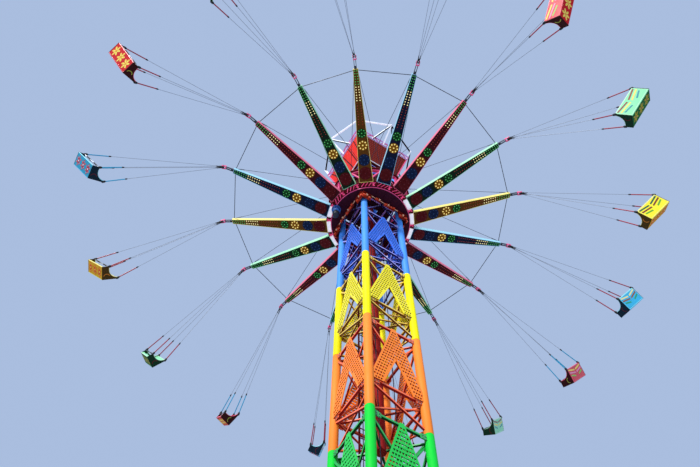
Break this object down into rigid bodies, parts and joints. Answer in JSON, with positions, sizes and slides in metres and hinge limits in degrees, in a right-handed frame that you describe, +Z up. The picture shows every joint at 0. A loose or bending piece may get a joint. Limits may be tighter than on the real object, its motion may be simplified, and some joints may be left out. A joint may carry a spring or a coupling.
{
  "type": "chair swing ride",
  "caption": "Chair swing ride: lattice tower, lifting carriage and rotor with sloping arms, two-seat chairs flung out on cables.",
  "frame": {"origin": "centre of the foundation slab's flat underside, on the tower's axis", "axes": "+Z up the tower; X and Y square to the tower's faces"},
  "size_m": [19.2086, 19.6067, 29.71],
  "materials": {
    "concrete": "cast concrete, plain",
    "tower_blue": "gloss paint",
    "tower_yellow": "gloss paint",
    "tower_orange": "gloss paint",
    "tower_green": "gloss paint",
    "head_red": "gloss paint",
    "white": "gloss paint",
    "maroon": "satin paint",
    "motor_blue": "gloss paint",
    "pink": "gloss paint",
    "steel_cable": "bare wire rope and rod",
    "arm_yellow": "gloss paint",
    "chair_yellow": "gloss paint on sheet metal",
    "arm_cyan": "gloss paint",
    "chair_cyan": "gloss paint on sheet metal",
    "arm_red": "gloss paint",
    "chair_red": "gloss paint on sheet metal",
    "arm_green": "gloss paint",
    "chair_green": "gloss paint on sheet metal"
  },
  "bodies": {
    "tower": {"foundation_slab": "concrete", "tower_base": "tower_orange", "tower_section_1": "tower_yellow", "tower_section_2": "tower_blue", "tower_section_3": "tower_green", "tower_section_4": "tower_orange", "tower_section_5": "tower_yellow", "tower_section_6": "tower_blue", "tower_section_7": "tower_blue", "tower_head": "head_red", "crown_frame": "white", "lift_cylinder": "maroon"},
    "carriage": {"carriage": "maroon", "drive_motor": "motor_blue"},
    "rotor": {"rotor_ring": "white", "rotor_mast": "pink", "rigging": "steel_cable", "arm_01": "arm_yellow", "arm_02": "arm_cyan", "arm_03": "arm_red", "arm_04": "arm_green", "arm_05": "arm_yellow", "arm_06": "arm_cyan", "arm_07": "arm_red", "arm_08": "arm_green", "arm_09": "arm_yellow", "arm_10": "arm_cyan", "arm_11": "arm_red", "arm_12": "arm_green", "arm_13": "arm_yellow", "arm_14": "arm_cyan", "arm_15": "arm_red", "arm_16": "arm_green"},
    "chair_01": {"chair_01": "chair_yellow"},
    "chair_02": {"chair_02": "chair_cyan"},
    "chair_03": {"chair_03": "chair_red"},
    "chair_04": {"chair_04": "chair_green"},
    "chair_05": {"chair_05": "chair_yellow"},
    "chair_06": {"chair_06": "chair_cyan"},
    "chair_07": {"chair_07": "chair_red"},
    "chair_08": {"chair_08": "chair_green"},
    "chair_09": {"chair_09": "chair_yellow"},
    "chair_10": {"chair_10": "chair_cyan"},
    "chair_11": {"chair_11": "chair_red"},
    "chair_12": {"chair_12": "chair_green"},
    "chair_13": {"chair_13": "chair_yellow"},
    "chair_14": {"chair_14": "chair_cyan"},
    "chair_15": {"chair_15": "chair_red"},
    "chair_16": {"chair_16": "chair_green"}
  },
  "joints": [
    {"name": "lift", "type": "slide", "parent": "tower", "child": "carriage", "axis": [0, 0, 1], "range_m": [-19.3, 0.25]},
    {"name": "spin", "type": "hinge", "parent": "carriage", "child": "rotor", "pos_m": [0, 0, 23.4], "axis": [0, 0, 1], "continuous": true},
    {"name": "swing_01", "type": "hinge", "parent": "rotor", "child": "chair_01", "pos_m": [-3.31309, -4.30213, 24.59], "axis": [-0.742, 0.6704, 0], "range_deg": [-54.5, 6], "stiffness_Nm_per_rad": 3943.5, "springref_deg": 52.69},
    {"name": "swing_02", "type": "hinge", "parent": "rotor", "child": "chair_02", "pos_m": [-1.41454, -5.24252, 24.59], "axis": [-0.9391, 0.3437, 0], "range_deg": [-58, 6], "stiffness_Nm_per_rad": 4955.6, "springref_deg": 43.71},
    {"name": "swing_03", "type": "hinge", "parent": "rotor", "child": "chair_03", "pos_m": [0.69936, -5.38477, 24.59], "axis": [-0.9987, -0.0506, 0], "range_deg": [-58.5, 6], "stiffness_Nm_per_rad": 5115.7, "springref_deg": 42.57},
    {"name": "swing_04", "type": "hinge", "parent": "rotor", "child": "chair_04", "pos_m": [2.70679, -4.70725, 24.59], "axis": [-0.9107, -0.4131, 0], "range_deg": [-58.5, 6], "stiffness_Nm_per_rad": 5115.7, "springref_deg": 42.57},
    {"name": "swing_05", "type": "hinge", "parent": "rotor", "child": "chair_05", "pos_m": [4.30213, -3.31309, 24.59], "axis": [-0.7022, -0.712, 0], "range_deg": [-56.5, 6], "stiffness_Nm_per_rad": 4499.7, "springref_deg": 47.32},
    {"name": "swing_06", "type": "hinge", "parent": "rotor", "child": "chair_06", "pos_m": [5.24252, -1.41454, 24.59], "axis": [-0.4003, -0.9164, 0], "range_deg": [-54.5, 6], "stiffness_Nm_per_rad": 3943.5, "springref_deg": 52.69},
    {"name": "swing_07", "type": "hinge", "parent": "rotor", "child": "chair_07", "pos_m": [5.38477, 0.69936, 24.59], "axis": [-0.0454, -0.999, 0], "range_deg": [-52.5, 6], "stiffness_Nm_per_rad": 3439.4, "springref_deg": 58.85},
    {"name": "swing_08", "type": "hinge", "parent": "rotor", "child": "chair_08", "pos_m": [4.70725, 2.70679, 24.59], "axis": [0.4131, -0.9107, 0], "range_deg": [-50.5, 6], "stiffness_Nm_per_rad": 2980.8, "springref_deg": 66.01},
    {"name": "swing_09", "type": "hinge", "parent": "rotor", "child": "chair_09", "pos_m": [3.31309, 4.30213, 24.59], "axis": [0.7536, -0.6574, 0], "range_deg": [-51.5, 6], "stiffness_Nm_per_rad": 3204.7, "springref_deg": 62.29},
    {"name": "swing_10", "type": "hinge", "parent": "rotor", "child": "chair_10", "pos_m": [1.41454, 5.24252, 24.59], "axis": [0.9449, -0.3272, 0], "range_deg": [-55.5, 6], "stiffness_Nm_per_rad": 4214.7, "springref_deg": 49.92},
    {"name": "swing_11", "type": "hinge", "parent": "rotor", "child": "chair_11", "pos_m": [-0.69936, 5.38477, 24.59], "axis": [1, 0.007, 0], "range_deg": [-55, 6], "stiffness_Nm_per_rad": 4077.5, "springref_deg": 51.28},
    {"name": "swing_12", "type": "hinge", "parent": "rotor", "child": "chair_12", "pos_m": [-2.70679, 4.70725, 24.59], "axis": [0.9245, 0.3811, 0], "range_deg": [-54, 6], "stiffness_Nm_per_rad": 3812.9, "springref_deg": 54.15},
    {"name": "swing_13", "type": "hinge", "parent": "rotor", "child": "chair_13", "pos_m": [-4.30213, 3.31309, 24.59], "axis": [0.7266, 0.6871, 0], "range_deg": [-51.5, 6], "stiffness_Nm_per_rad": 3204.7, "springref_deg": 62.29},
    {"name": "swing_14", "type": "hinge", "parent": "rotor", "child": "chair_14", "pos_m": [-5.24252, 1.41454, 24.59], "axis": [0.4399, 0.898, 0], "range_deg": [-50.5, 6], "stiffness_Nm_per_rad": 2980.8, "springref_deg": 66.01},
    {"name": "swing_15", "type": "hinge", "parent": "rotor", "child": "chair_15", "pos_m": [-5.38477, -0.69936, 24.59], "axis": [0.0279, 0.9996, 0], "range_deg": [-51.5, 6], "stiffness_Nm_per_rad": 3204.7, "springref_deg": 62.29},
    {"name": "swing_16", "type": "hinge", "parent": "rotor", "child": "chair_16", "pos_m": [-4.70725, -2.70679, 24.59], "axis": [-0.3486, 0.9373, 0], "range_deg": [-58.5, 6], "stiffness_Nm_per_rad": 5115.7, "springref_deg": 42.57}
  ]
}
